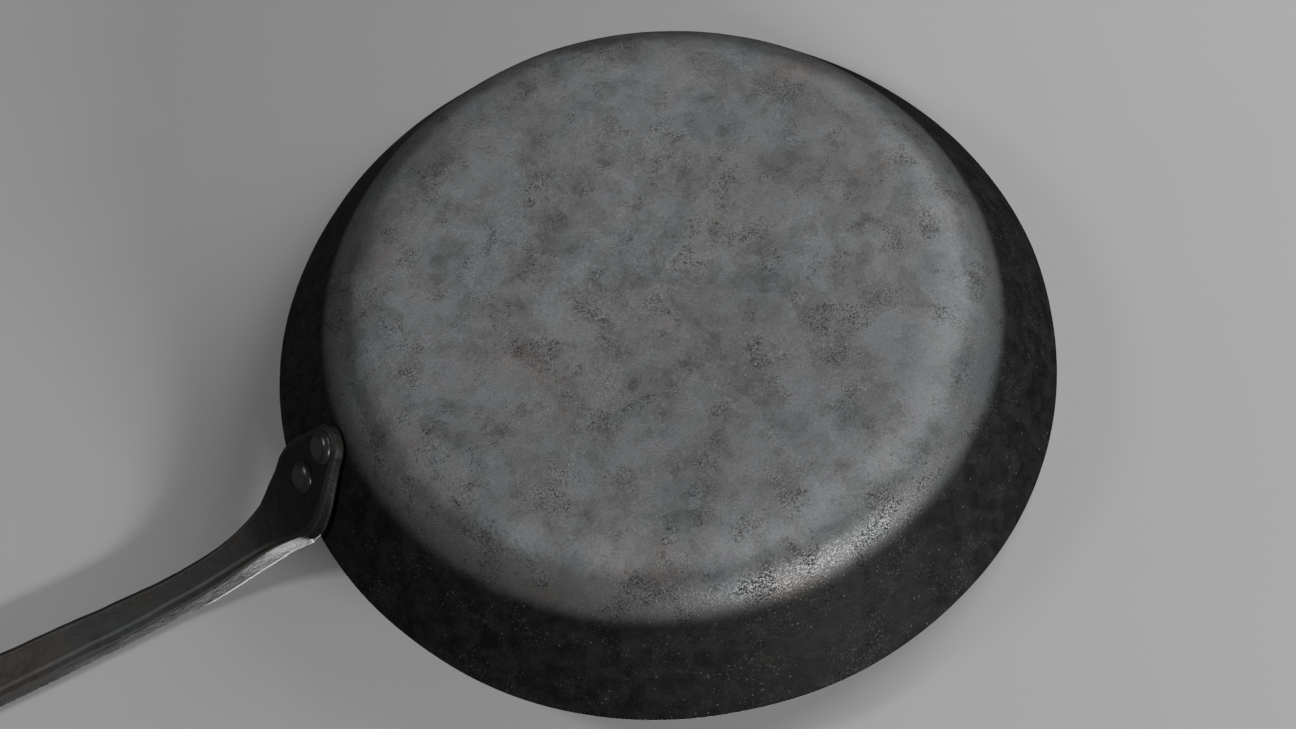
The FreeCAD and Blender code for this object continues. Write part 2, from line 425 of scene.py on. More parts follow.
def smooth_line(at, stations, values):
    """A smooth line through the values: a cubic in each gap, with its slopes taken from both sides."""
    stations = np.asarray(stations, float)
    values = np.asarray(values, float)
    slopes = np.gradient(values, stations)
    gap = np.clip(np.searchsorted(stations, at) - 1, 0, len(stations) - 2)
    length = stations[gap + 1] - stations[gap]
    t = np.clip((at - stations[gap]) / length, 0, 1)
    start, end = values[gap], values[gap + 1]
    bend_in, bend_out = slopes[gap] * length, slopes[gap + 1] * length
    return (
        start * (2 * t**3 - 3 * t**2 + 1)
        + bend_in * (t**3 - 2 * t**2 + t)
        + end * (3 * t**2 - 2 * t**3)
        + bend_out * (t**3 - t**2)
    )


def half_circle(along, centre, end_radius):
    """Half the width of a circle at a distance along: the root of radius squared less distance squared."""
    return np.sqrt(np.maximum(end_radius**2 - (along - centre) ** 2, 0))


def half_width(along):
    """Half the handle's width: the tip's circle, the line through the stations, and the eye's circle."""
    bar = smooth_line(along / MM, STATIONS, HALF_WIDTHS) * MM
    tip = half_circle(along, TIP_CENTRE, TIP_RADIUS)
    eye = half_circle(along, EYE_CENTRE, EYE_RADIUS)
    bar = np.where(along < STATIONS[0] * MM, tip, bar) * (1 - ease(along, EYE_CENTRE, EYE_CENTRE + 5 * MM))
    return np.where(along > EYE_BLEND_START, (bar**10 + eye**10) ** 0.1, bar)


first = TIP_CENTRE - TIP_RADIUS
turned = (1 - np.cos(np.linspace(0, math.pi, 8001))) / 2
dense_along = first + turned * (HANDLE_LENGTH - first)
dense_half = half_width(dense_along)
walk = np.concatenate(([0], np.cumsum(np.hypot(np.diff(dense_along), np.diff(dense_half)))))
stops = np.linspace(0, walk[-1], round(walk[-1] / OUTLINE_STEP))
side_along = np.interp(stops, walk, dense_along)
side_half = np.interp(stops, walk, dense_half)
rim_along = np.concatenate((side_along, side_along[-2:0:-1]))
rim_across = np.concatenate((side_half, -side_half[-2:0:-1]))
plate_width = 2 * side_half[side_along < 0].max()
print("outline points", len(rim_along), "plate width, mm", round(plate_width / MM, 1))

# %% [markdown]
# From each point of that outline, half a section runs from the middle of the under face, out
# over a chamfer, up the side, over the other chamfer and back to the middle of the upper face.
# Both halves meet in the middle, and fan round at the two ends, so the whole forging is one grid
# with no separate ends. The chamfers' corners are small curves, as files and scale leave them.

# %% Depth and chamfer along the handle
DEPTH_STATIONS = (0, 12, 22, 34, 48, 78, 112, 150, 178, 197, 220)
DEPTHS = (11, 13.4, 13.6, 13.6, 13.6, 13.8, 14, 13.6, 11, 7, 7)
CHAMFER_STATIONS = (-45, -4, 4, 12, 22, 34, 48, 78, 112, 150, 178, 197, 220)
CHAMFERS = (1.0, 0.9, 1.0, 1.2, 1.6, 2.0, 2.3, 2.4, 2.4, 2.4, 2.1, 1.6, 1.6)
SPREAD_STATIONS = (-40, -31, -23, -15, -8, -2, 4, 12, 220)
SPREADS = (0.9, 1.0, 1.8, 2.8, 3.5, 2.8, 1.2, 0, 0)
RIM_CLEARANCE = 0.6 * MM
BACK_GAP = 0.04 * MM


def depth_at(along):
    """Depth of the handle above its under face.

    The plate reaches its back on the wall. Past the rim the bar has its own depth, and stays
    clear of the rim: the run out to the rim's radius, over the sine of the slope.
    """
    point, up = on_path(along)
    off_wall = (point - RIM_POINT) @ OUT_OF_WALL - BACK_GAP
    plate = off_wall / -(up @ OUT_OF_WALL)
    beside_rim = (point[..., 0] - RIM_RADIUS - RIM_CLEARANCE) / -up[..., 0]
    bar = smooth_line(along / MM, DEPTH_STATIONS, DEPTHS) * MM
    past = ease(along, -2 * MM, 1 * MM)
    return plate * (1 - past) + np.minimum(beside_rim, bar) * past


spread_at = np.interp(rim_along / MM, SPREAD_STATIONS, SPREADS) * MM
chamfer_at = smooth_line(rim_along / MM, CHAMFER_STATIONS, CHAMFERS) * MM
depth_here = depth_at(rim_along)
print("depth at the grip, mm", round(float(depth_at(np.array(0.08))) / MM, 1))

# %% Half sections round the handle
EDGE_ROUND = 0.55 * MM
FACE_POINTS = 11
SIDE_POINTS = 8
CORNER_POINTS = 4
WANDER = ((23 * MM, 0.22 * MM, 21), (8 * MM, 0.16 * MM, 22), (3 * MM, 0.05 * MM, 23))

flat_outline = np.stack((rim_along, rim_across, np.zeros_like(rim_along)), -1)
tangent = np.roll(flat_outline, -1, axis=0) - np.roll(flat_outline, 1, axis=0)
tangent /= np.linalg.norm(tangent, axis=1, keepdims=True)
outward = np.stack((-tangent[:, 1], tangent[:, 0]), -1)
outward *= np.sign(np.sum(outward * np.stack((rim_along - 80 * MM, rim_across * 40), -1), axis=1))[:, None]
flat_outline[:, :2] += outward * lumps_of(flat_outline, WANDER)[:, None]
spine = np.stack((np.clip(rim_along, TIP_CENTRE, EYE_CENTRE), np.zeros_like(rim_along)), -1)


def place(inset, rise):
    """A point a distance in from the outline and up from the under face, as along, across and up.

    The plate's sides spread towards the wall, by the share of the depth that the point is up.
    """
    spread_by = spread_at * rise / depth_here
    flat = flat_outline[:, :2] + outward * (spread_by - inset)[:, None]
    return np.concatenate((flat, rise[:, None]), axis=1)


def corner_curve(before, corner, after):
    """A small curve in place of a corner: a quadratic one that leaves and meets the straight runs."""
    back = before - corner
    on = after - corner
    start = corner + back * (EDGE_ROUND / np.linalg.norm(back, axis=1, keepdims=True))
    end = corner + on * (EDGE_ROUND / np.linalg.norm(on, axis=1, keepdims=True))
    t = np.linspace(0, 1, CORNER_POINTS)[:, None, None]
    return (1 - t) ** 2 * start + 2 * t * (1 - t) * corner + t**2 * end


zero = np.zeros_like(chamfer_at)
under_middle = np.concatenate((spine, zero[:, None]), axis=1)
upper_middle = np.concatenate((spine, depth_at(spine[:, 0])[:, None]), axis=1)
marks = (
    under_middle,
    place(chamfer_at, zero),
    place(zero, chamfer_at),
    place(zero, depth_here - chamfer_at),
    place(chamfer_at, depth_here),
    upper_middle,
)
curves = [corner_curve(*marks[k:k + 3]) for k in range(4)]


def run_between(start, end, count):
    """Evenly spaced points from a start to an end, without the two themselves."""
    t = np.linspace(0, 1, count + 2)[1:-1, None, None]
    return start + (end - start) * t


columns = np.concatenate((
    under_middle[None],
    run_between(under_middle, curves[0][0], FACE_POINTS),
    curves[0],
    run_between(curves[0][-1], curves[1][0], 2),
    curves[1],
    run_between(curves[1][-1], curves[2][0], SIDE_POINTS),
    curves[2],
    run_between(curves[2][-1], curves[3][0], 2),
    curves[3],
    run_between(curves[3][-1], upper_middle, FACE_POINTS),
    upper_middle[None],
))
section_points = np.moveaxis(columns, 0, 1)
print("half sections", section_points.shape)

# %% [markdown]
# Flat coordinates are now carried onto the path: along picks the point and the direction up,
# across is the pan's Y, and the rise goes up. Then the hammer works on it. The blows are lumps
# pushed along the surface's own normal, stronger at the neck, where the bar was drawn out of the
# plate. Masks for the paint say how near an edge is and which face a point is on.

# %% Handle
HAMMER = ((11 * MM, 0.20 * MM, 31), (4.5 * MM, 0.09 * MM, 32), (2 * MM, 0.03 * MM, 33))
path_point, path_up = on_path(section_points[..., 0])
handle_grid = path_point + section_points[..., 1:2] * np.array((0, 1, 0)) + section_points[..., 2:] * path_up

blows = lumps_of(handle_grid, HAMMER)
along_here = section_points[..., 0]
neck = 0.45 + 0.9 * ease(along_here, -8 * MM, 4 * MM) * (1 - ease(along_here, 16 * MM, 40 * MM))
back_of_plate = ease(section_points[..., 2], 1.5 * MM, 3.5 * MM) * (1 - ease(along_here, -2 * MM, 3 * MM))
handle_normals = surface_normals(handle_grid, 1)
middle = path_point + path_up * (depth_at(along_here) / 2)[..., None]
outwards = np.sign(np.median(np.sum(handle_normals * (handle_grid - middle), axis=-1)))
handle_grid += handle_normals * (outwards * blows * neck * (1 - back_of_plate))[..., None]
middle_push = (blows * neck * (1 - back_of_plate))[..., None] * path_up
for end, way in ((0, -1), (-1, 1)):
    flat_point = path_point[:, end] + section_points[:, end, 2:] * path_up[:, end]
    handle_grid[:, end] = flat_point + way * middle_push[:, end]

# %% Masks on the handle
EDGE_WIDTH = 0.75 * MM
corner_columns = [
    1 + FACE_POINTS + 1.5,
    1 + FACE_POINTS + CORNER_POINTS + 3.5,
    1 + FACE_POINTS + 2 * CORNER_POINTS + 3.5 + SIDE_POINTS,
    1 + FACE_POINTS + 3 * CORNER_POINTS + 5.5 + SIDE_POINTS,
]
column = np.arange(section_points.shape[1])
steps_over = np.diff(section_points, axis=1, prepend=section_points[:, :1])
walked = np.cumsum(np.linalg.norm(steps_over, axis=-1), axis=1)
from_edge = np.min([
    np.abs(walked - (walked[:, int(c)] + walked[:, int(c) + 1])[:, None] / 2) for c in corner_columns
], axis=0)
edge_mask = np.exp(-((from_edge / EDGE_WIDTH) ** 2))
broad = (column < corner_columns[0]) | (column > corner_columns[3])
on_chamfer = ((column > corner_columns[0]) & (column < corner_columns[1])) | (
    (column > corner_columns[2]) & (column < corner_columns[3]))
face_mask = np.where(broad, 1.0, np.where(on_chamfer, 0.45, 0.0))[None, :]
grip_mask = 0.5 * ease(along_here, 6 * MM, 30 * MM) + 0.5 * ease(along_here, 30 * MM, 170 * MM)
handle = mesh_piece("handle_forging", handle_grid, rows_close=True, columns_close=False, masks={
    "edge": edge_mask, "face": face_mask, "grip": grip_mask,
})

# %% [markdown]
# A rivet is a pin whose ends were hammered into domes over the plate and inside the pan. It is
# turned like the pan, about the wall's normal. A true dome would look like a cap nut, so the
# outer head is a little flat on top with a steeper edge, and its skin carries the peening marks.

# %% Rivets
HEAD_RADIUS = 6.0 * MM
HEAD_HEIGHT = 2.7 * MM
INNER_HEAD_RADIUS = 6.5 * MM
INNER_HEAD_HEIGHT = 2.3 * MM
SHANK_RADIUS = 3.0 * MM
SEAT_DEPTH = 0.2 * MM
RIVET_COLUMNS = 96
PEENING = ((3.4 * MM, 0.14 * MM, 41), (1.5 * MM, 0.05 * MM, 42))


def domed(head_radius, head_height, flatness):
    """Distances out and up of a head: the height is one less the share out to a power, to a root."""
    share = np.sin(np.linspace(0, math.pi / 2, 22))
    return share * head_radius, head_height * (1 - share**flatness) ** (1 / 2)


def rivet_piece(name, down):
    """A rivet through the wall at a distance down from the rim, turned about the wall's normal."""
    out, up = domed(HEAD_RADIUS, HEAD_HEIGHT, 3.0)
    inner_out, inner_up = domed(INNER_HEAD_RADIUS, INNER_HEAD_HEIGHT, 2.2)
    seat = PLATE_THICKNESS - SEAT_DEPTH
    inner_seat = -SHEET + SEAT_DEPTH
    shank = np.linspace(seat, inner_seat, 8)
    profile_out = np.concatenate((out, np.full(8, SHANK_RADIUS), inner_out[::-1]))
    profile_up = np.concatenate((seat + up + SEAT_DEPTH * (up > 0), shank, inner_seat - inner_up[::-1]))
    turn = np.linspace(0, 2 * math.pi, RIVET_COLUMNS, endpoint=False)
    side = np.cross(OUT_OF_WALL, (0, 1, 0))
    ring = np.cos(turn)[:, None] * side + np.sin(turn)[:, None] * np.array((0, 1, 0))
    centre = RIM_POINT - ALONG_WALL * down
    grid = centre + profile_out[:, None, None] * ring + profile_up[:, None, None] * OUT_OF_WALL
    dents = lumps_of(grid, PEENING)
    on_head = np.concatenate((np.ones(len(out)), np.zeros(8), np.ones(len(inner_out))))
    away = np.sign(profile_up - seat / 2)[:, None, None] * OUT_OF_WALL
    grid = grid + away * (dents * on_head[:, None])[..., None]
    share_out = profile_out / HEAD_RADIUS
    crown = (1 - ease(share_out, 0.45, 0.9)) * on_head
    return mesh_piece(name, grid, masks={"crown": crown[:, None]})


upper_rivet = rivet_piece("rivet_upper_peened", UPPER_RIVET_DOWN)
lower_rivet = rivet_piece("rivet_lower_peened", LOWER_RIVET_DOWN)

# %% [markdown]
# The hanging hole and the rivets' holes go through shapes that are already finished. They could
# be left open in the grids, but a drill is simpler: a turned cutter is taken away from the piece
# by a Boolean modifier, which is applied at once. The hanging hole's cutter flares at both ends,
# which gives the hole the rubbed edge that a hook leaves.

# %% Drilled holes
hole_mount = next(m for m in frame["record"]["mounts"] if m["name"] == "hang_hole")
HOLE_COLUMNS = 72
CREASE = math.radians(38)


def cutter(centre, axis, heights, radii):
    """A turned drill: a radius at each height along its axis, closed by a middle point at each end."""
    axis = np.asarray(axis) / np.linalg.norm(axis)
    side = np.cross(axis, (0, 1, 0))
    side = side / np.linalg.norm(side)
    turn = np.linspace(0, 2 * math.pi, HOLE_COLUMNS, endpoint=False)
    ring = np.cos(turn)[:, None] * side + np.sin(turn)[:, None] * np.cross(axis, side)
    radii = np.concatenate(((0,), radii, (0,)))[:, None, None]
    heights = np.concatenate((heights[:1], heights, heights[-1:]))[:, None, None]
    return mesh_piece("drill", np.asarray(centre) + radii * ring + heights * axis)


def drill(piece, tool):
    """Takes the tool away from the piece for good, and creases the new edges."""
    cut = piece.modifiers.new("hole", "BOOLEAN")
    cut.operation = "DIFFERENCE"
    cut.solver = "EXACT"
    cut.object = tool
    graph = bpy.context.evaluated_depsgraph_get()
    drilled = bpy.data.meshes.new_from_object(piece.evaluated_get(graph), depsgraph=graph)
    piece.modifiers.clear()
    piece.data = drilled
    drilled.set_sharp_from_angle(angle=CREASE)
    bpy.data.objects.remove(tool)


flare = np.array((-9, -4.4, -3.7, -3.0, -2.2, 2.2, 3.0, 3.7, 4.4, 9)) * MM
flare_radii = HANG_HOLE_RADIUS + np.array((2.2, 2.2, 0.95, 0.35, 0, 0, 0.35, 0.95, 2.2, 2.2)) * MM
drill(handle, cutter(hole_mount["pos_m"], hole_mount["axis"], flare, flare_radii))
for down in (UPPER_RIVET_DOWN, LOWER_RIVET_DOWN):
    for piece in (pan, handle):
        reach = np.array((-8, 8)) * MM
        drill(piece, cutter(RIM_POINT - ALONG_WALL * down, OUT_OF_WALL, reach, np.full(2, SHANK_RADIUS)))
for piece in (pan, handle):
    print(piece.name, len(piece.data.polygons), "faces after drilling")

# %% [markdown]
# Seasoned steel is one dark skin with many small stories on it: patches where a layer of baked
# oil has flaked, pits, grit, hairline scratches and edges rubbed back to metal. Each story is a
# node group with its own inputs, built once and placed in every finish that needs it with its
# own values. A short helper makes the nodes, so that each group reads as a list of steps.

# %% Node helpers
def add(tree, kind, inputs=None, **settings):
    """A node with its settings, its inputs set to a number or colour, or joined to a socket."""
    made = tree.nodes.new(kind)
    for setting, value in settings.items():
        setattr(made, setting, value)
    for socket, value in (inputs or {}).items():
        if isinstance(value, bpy.types.NodeSocket):
            tree.links.new(value, made.inputs[socket])
        else:
            made.inputs[socket].default_value = value
    return made


def calculate(tree, operation, first, second=0.0, clamp=False):
    """The result of a Math node on two numbers or sockets."""
    made = add(tree, "ShaderNodeMath", {0: first, 1: second}, operation=operation, use_clamp=clamp)
    return made.outputs[0]


def times(tree, first, second):
    """The product of two numbers or sockets."""
    return calculate(tree, "MULTIPLY", first, second)


def plus(tree, first, second):
    """The sum of two numbers or sockets."""
    return calculate(tree, "ADD", first, second)


def less(tree, first, second):
    """The first number or socket less the second."""
    return calculate(tree, "SUBTRACT", first, second)


def largest(tree, first, *others):
    """The largest of several numbers or sockets."""
    for other in others:
        first = calculate(tree, "MAXIMUM", first, other)
    return first


def spread(tree, value, low, high, new_low=0.0, new_high=1.0):
    """A value moved smoothly from one range to another."""
    inputs = {"Value": value, "From Min": low, "From Max": high, "To Min": new_low, "To Max": new_high}
    return add(tree, "ShaderNodeMapRange", inputs, interpolation_type="SMOOTHSTEP").outputs["Result"]


def noise(tree, where, scale, detail=4.0, roughness=0.5, distortion=0.0):
    """Fractal noise from about 0 to 1, with so many lumps to the metre."""
    inputs = {
        "Vector": where, "Scale": scale, "Detail": detail, "Roughness": roughness, "Distortion": distortion,
    }
    return add(tree, "ShaderNodeTexNoise", inputs).outputs["Fac"]


def moved(tree, where, place):
    """The same space moved, so that one noise can be used again in another place."""
    return add(tree, "ShaderNodeMapping", {"Vector": where, "Location": place}).outputs[0]


def new_group(name, inputs, outputs):
    """An empty node group with named sockets, and its input and output nodes."""
    tree = bpy.data.node_groups.new(name, "ShaderNodeTree")
    for socket, (kind, value) in inputs.items():
        made = tree.interface.new_socket(socket, in_out="INPUT", socket_type="NodeSocket" + kind)
        if value is not None:
            made.default_value = value
    for socket, kind in outputs.items():
        tree.interface.new_socket(socket, in_out="OUTPUT", socket_type="NodeSocket" + kind)
    given = tree.nodes.new("NodeGroupInput").outputs
    return tree, given, tree.nodes.new("NodeGroupOutput").inputs


# %% Groups and colours in a material
def placed(tree, group, **inputs):
    """A group placed in a material. Words of the input names are joined by an underscore."""
    made = add(tree, "ShaderNodeGroup", node_tree=group)
    for socket, value in inputs.items():
        target = made.inputs[socket.replace("_", " ")]
        if isinstance(value, bpy.types.NodeSocket):
            tree.links.new(value, target)
        else:
            target.default_value = value
    return made.outputs


def blend(tree, share, first, second, way="MIX"):
    """Two colours mixed by a share."""
    made = add(tree, "ShaderNodeMix", data_type="RGBA", blend_type=way, clamp_factor=True)
    for number, value in ((0, share), (6, first), (7, second)):
        if isinstance(value, bpy.types.NodeSocket):
            tree.links.new(value, made.inputs[number])
        else:
            made.inputs[number].default_value = value
    return made.outputs[2]


def coats(tree, colour, *layers):
    """A colour with others laid over it in turn, each by a mask and how strongly it covers."""
    for mask, cover, over in layers:
        colour = blend(tree, times(tree, mask, cover), colour, over)
    return colour


# %% [markdown]
# Baked oil goes on in thin layers and comes off in flakes. The result looks like a map: smooth
# islands in three or four tones, with crisp coasts. A thin pale line along a coast is a painted
# highlight, for light caught on the small step where a layer ends. The islands could be painted,
# but noise cut at a few levels gives the same islands. The levels are cut from a noise that
# another noise has bent, so no two coasts run alike.

# %% Flaked layers
LAYER_ENDS = (0.42, 0.50, 0.575)
flaked, given, made = new_group(
    "flaked_layers",
    {"Vector": ("Vector", None), "Patches": ("Float", 45.0), "Crispness": ("Float", 0.5)},
    {"Tone": "Float", "CoastHighlight": "Float", "Height": "Float"},
)
bent = noise(flaked, given["Vector"], times(flaked, given["Patches"], 2.3), 4, 0.6)
ground = noise(flaked, given["Vector"], given["Patches"], 8, 0.62, 0.35)
ground = plus(flaked, ground, times(flaked, less(flaked, bent, 0.5), 0.22))
width = less(flaked, 0.06, times(flaked, given["Crispness"], 0.055))
levels = []
coast_highlights = []
for level in LAYER_ENDS:
    past_level = calculate(flaked, "DIVIDE", less(flaked, ground, level), width)
    levels.append(calculate(flaked, "ADD", past_level, 0.5, clamp=True))
    # A thin line at each level: a painted highlight on the small step where a layer ends.
    nearness = calculate(flaked, "ABSOLUTE", less(flaked, ground, level + 0.004))
    coast_highlights.append(spread(flaked, nearness, 0.0, 0.008, 1.0, 0.0))
layers = plus(flaked, plus(flaked, levels[0], levels[1]), levels[2])
layers = calculate(flaked, "DIVIDE", layers, len(LAYER_ENDS))
flaked.links.new(layers, made["Tone"])
flaked.links.new(layers, made["Height"])
broken = spread(flaked, noise(flaked, given["Vector"], 130.0, 3), 0.5, 0.62)
flaked.links.new(times(flaked, largest(flaked, *coast_highlights), broken), made["CoastHighlight"])

# %% [markdown]
# Pits and grit are both small dark dots, finer than any mesh should carry. They crowd together
# in some places and leave others clean, so fine noise is cut to dots and a coarse noise says
# where the crowd is. Flecks are the other side of the same noise, where the high spots are rubbed
# pale. Bright specks are rare and scattered, so they are the middles of a few cells.

# %% Grit, pits and specks
grit, given, made = new_group(
    "grit",
    {
        "Vector": ("Vector", None), "Fineness": ("Float", 1300.0), "Crowding": ("Float", 0.5),
        "Everywhere": ("Float", 0.3),
    },
    {"Dots": "Float", "Flecks": "Float", "Specks": "Float", "Height": "Float"},
)
fine = noise(grit, given["Vector"], given["Fineness"], 4, 0.7)
crowd = noise(grit, given["Vector"], 62.0, 7, 0.72, 0.4)
edge = less(grit, 0.72, times(grit, given["Crowding"], 0.34))
crowded = largest(grit, spread(grit, crowd, edge, plus(grit, edge, 0.16)), given["Everywhere"])
dots = times(grit, spread(grit, fine, 0.52, 0.40), crowded)
fleck_noise = noise(grit, moved(grit, given["Vector"], (0.9, 0.3, 0.5)), 48.0, 7, 0.75, 0.4)
fleck_crowd = largest(grit, spread(grit, fleck_noise, 0.40, 0.62), given["Everywhere"])
cells = add(grit, "ShaderNodeTexVoronoi", {"Vector": given["Vector"], "Scale": 520.0}).outputs
rare = add(grit, "ShaderNodeSeparateColor", {"Color": cells["Color"]}).outputs
speck = times(grit, spread(grit, cells["Distance"], 0.26, 0.12), spread(grit, rare[0], 0.86, 0.93))
grit.links.new(dots, made["Dots"])
grit.links.new(times(grit, spread(grit, fine, 0.54, 0.68), fleck_crowd), made["Flecks"])
grit.links.new(speck, made["Specks"])
grit.links.new(less(grit, fine, times(grit, dots, 0.35)), made["Height"])

# %% [markdown]
# Scratches on a pan are short hairlines in every direction, from grates, sponges and stacking.
# A line in a shader is where stretched cells meet. Three layers of cells, stretched and turned
# differently, are cut to their thin borders, and a coarse noise keeps only a few of them.

# %% Hairlines
hairlines, given, made = new_group(
    "hairlines",
    {"Vector": ("Vector", None), "Amount": ("Float", 0.5)},
    {"Lines": "Float"},
)
sets = []
for turn, stretch, shift in ((0.5, 9.0, 0.0), (2.1, 12.0, 0.31), (1.2, 14.0, 0.67)):
    turned_space = add(hairlines, "ShaderNodeMapping", {
        "Vector": given["Vector"], "Rotation": (0.0, 0.0, turn),
        "Location": (shift, shift / 2, 0.0), "Scale": (1.0, stretch, 1.0),
    }).outputs[0]
    cell_inputs = {"Vector": turned_space, "Scale": 38.0}
    cell = add(hairlines, "ShaderNodeTexVoronoi", cell_inputs, feature="DISTANCE_TO_EDGE")
    thin = spread(hairlines, cell.outputs["Distance"], 0.0, 0.012, 1.0, 0.0)
    keep = spread(hairlines, noise(hairlines, turned_space, 55.0, 2), 0.56, 0.66)
    sets.append(times(hairlines, thin, keep))
hairlines.links.new(times(hairlines, largest(hairlines, *sets), given["Amount"]), made["Lines"])

# %% [markdown]
# Edges are rubbed first and longest. The mesh already says how near an edge is, so the group only
# has to break that clean band up, so that it comes and goes as real wear does.

# %% Rubbed edges
rubbed, given, made = new_group(
    "rubbed_edges",
    {"Vector": ("Vector", None), "Edge": ("Float", 0.0), "Wear": ("Float", 0.5)},
    {"Mask": "Float"},
)
ragged = noise(rubbed, given["Vector"], 420.0, 5, 0.7)
patchy = noise(rubbed, given["Vector"], 60.0, 3, 0.5)
limit = less(rubbed, 1.25, times(rubbed, given["Wear"], 0.75))
reach_in = plus(rubbed, given["Edge"], times(rubbed, plus(rubbed, ragged, patchy), 0.5))
reach_in = times(rubbed, spread(rubbed, reach_in, limit, plus(rubbed, limit, 0.3)), given["Edge"])
rubbed.links.new(reach_in, made["Mask"])

# %% [markdown]
# Heat and oil leave faint colours, brown where oil baked on, blue-green where the steel showed
# through when it was hot. They are so weak that they only show beside one another, so one group
# tints any colour with both, each by its own slow noise.

# %% Heat and oil tints
tints, given, made = new_group(
    "heat_and_oil",
    {"Vector": ("Vector", None), "Color": ("Color", (0.1, 0.1, 0.1, 1)), "Strength": ("Float", 0.5)},
    {"Color": "Color"},
)
warm = spread(tints, noise(tints, given["Vector"], 28.0, 5, 0.6), 0.46, 0.66)
cold_space = moved(tints, given["Vector"], (0.4, 0.7, 0.2))
cold = spread(tints, noise(tints, cold_space, 34.0, 5, 0.6), 0.48, 0.68)
warm_where = times(tints, warm, given["Strength"])
cold_where = times(tints, cold, given["Strength"])
warmed = blend(tints, warm_where, given["Color"], (1.0, 0.86, 0.74, 1), "MULTIPLY")
tints.links.new(blend(tints, cold_where, warmed, (0.80, 0.96, 1.0, 1), "MULTIPLY"), made["Color"])
print("node groups", sorted(g.name for g in bpy.data.node_groups))

# %% [markdown]
# The sheet has several finishes on one skin, so it is one material that mixes them by the masks
# in its mesh: a grey, map-like base that the hob has rubbed, whose lightness beside the wall is in
# part painted light that stands for the overhead light the flat base reflects; a paler ring at the
# base's edge, which is a painted highlight where the shoulder starts to turn; a shoulder burnished
# to bare metal where the pan slides; a nearly black wall; and a smooth black cooking side.
# Roughness and bump come from the same groups as the colour, so a flake, a pit or a scratch shows
# in the gloss as well.

# %% Starting a finish
def new_material(name, slot_colour):
    """A material with one Principled shader, its tree and the pieces' own space."""
    material = bpy.data.materials.new(name)
    material.use_nodes = True
    material.diffuse_color = slot_colour
    tree = material.node_tree
    shader = tree.nodes["Principled BSDF"]
    return material, tree, shader, add(tree, "ShaderNodeTexCoord").outputs["Object"]


def mask_of(tree, name):
    """A mask that the mesh carries."""
    return add(tree, "ShaderNodeAttribute", attribute_name=name).outputs["Fac"]


def grey(value, warmth=0.0):
    """A grey with a little red added and blue taken away."""
    return (value * (1 + warmth), value, value * (1 - warmth), 1)


def relief(tree, shader, height, strength, depth):
    """Bump on a finish, from heights of 0 to 1 that stand for a depth."""
    inputs = {"Height": height, "Strength": strength, "Distance": depth}
    tree.links.new(add(tree, "ShaderNodeBump", inputs).outputs["Normal"], shader.inputs["Normal"])


# %% Seasoned sheet: colours of the base, the wall and the cooking side
sheet_finish, tree, shader, where = new_material("seasoned_sheet", grey(0.05))
layers = placed(tree, flaked, Vector=where, Patches=44.0, Crispness=0.93)
fine_layers = placed(tree, flaked, Vector=where, Patches=150.0, Crispness=0.7)
dots = placed(tree, grit, Vector=where, Fineness=1500.0, Crowding=0.72, Everywhere=0.24)
lines = placed(tree, hairlines, Vector=where, Amount=0.5)["Lines"]
clouds = noise(tree, where, 11.0, 3, 0.5)

# The base's greys are flaked seasoning and the hob's wear. They are also partly painted light: they are kept
# far lighter than the wall to stand for the overhead light that the flat base reflects.
base_colour = blend(tree, layers["Tone"], grey(0.150, -0.01), grey(0.235, -0.03))
base_colour = blend(tree, spread(tree, fine_layers["Tone"], 0, 1, 0, 0.30), base_colour, grey(0.31, -0.03))
base_colour = blend(tree, spread(tree, clouds, 0.35, 0.65, 0.0, 0.25), base_colour, grey(0.115, 0.01))
base_colour = coats(
    tree, base_colour,
    # Painted highlight: a paler ring at the base's edge, where the shoulder starts to turn.
    (mask_of(tree, "edge_sheen"), 0.22, grey(0.33, -0.03)),
    (dots["Dots"], 0.90, grey(0.045, 0.02)),
    (dots["Flecks"], 0.65, grey(0.38, -0.02)),
    # Painted highlight along the coasts of the flakes.
    (layers["CoastHighlight"], 0.35, grey(0.36)),
    (lines, 0.22, grey(0.38)),
)
wall_colour = coats(
    tree, blend(tree, fine_layers["Tone"], grey(0.010), grey(0.022, 0.02)),
    (spread(tree, dots["Flecks"], 0.15, 1.0), 0.75, grey(0.17, 0.02)),
    (dots["Specks"], 0.30, grey(0.25)),
    (lines, 0.25, grey(0.16)),
)
inside_colour = blend(tree, layers["Tone"], grey(0.012, 0.05), grey(0.020, 0.08))
inside_colour = coats(tree, inside_colour, (lines, 0.35, grey(0.07)))

# %% Seasoned sheet: one colour by the masks
ragged_edge = times(tree, less(tree, layers["Tone"], 0.5), 0.18)
base_share = calculate(tree, "ADD", mask_of(tree, "base"), ragged_edge, clamp=True)
base_share = times(tree, base_share, spread(tree, mask_of(tree, "base"), 0.0, 0.25))
burnished = times(tree, mask_of(tree, "burnish"), spread(tree, dots["Flecks"], 0, 0.6, 0.55, 1.0))
burnished = times(tree, burnished, spread(tree, dots["Dots"], 0, 0.5, 1.0, 0.25))
lip_wear = placed(tree, rubbed, Vector=where, Edge=mask_of(tree, "lip"), Wear=0.62)["Mask"]
# The base mask picks the light grey base over the near black wall; part of that difference is painted light.
colour = blend(tree, base_share, wall_colour, base_colour)
colour = coats(tree, colour, (burnished, 0.75, grey(0.42, -0.02)))
colour = blend(tree, mask_of(tree, "inside"), colour, inside_colour)
colour = coats(tree, colour, (lip_wear, 0.6, grey(0.11, 0.03)))
colour = placed(tree, tints, Vector=where, Color=colour, Strength=0.35)["Color"]
tree.links.new(colour, shader.inputs["Base Color"])
tree.links.new(burnished, shader.inputs["Metallic"])

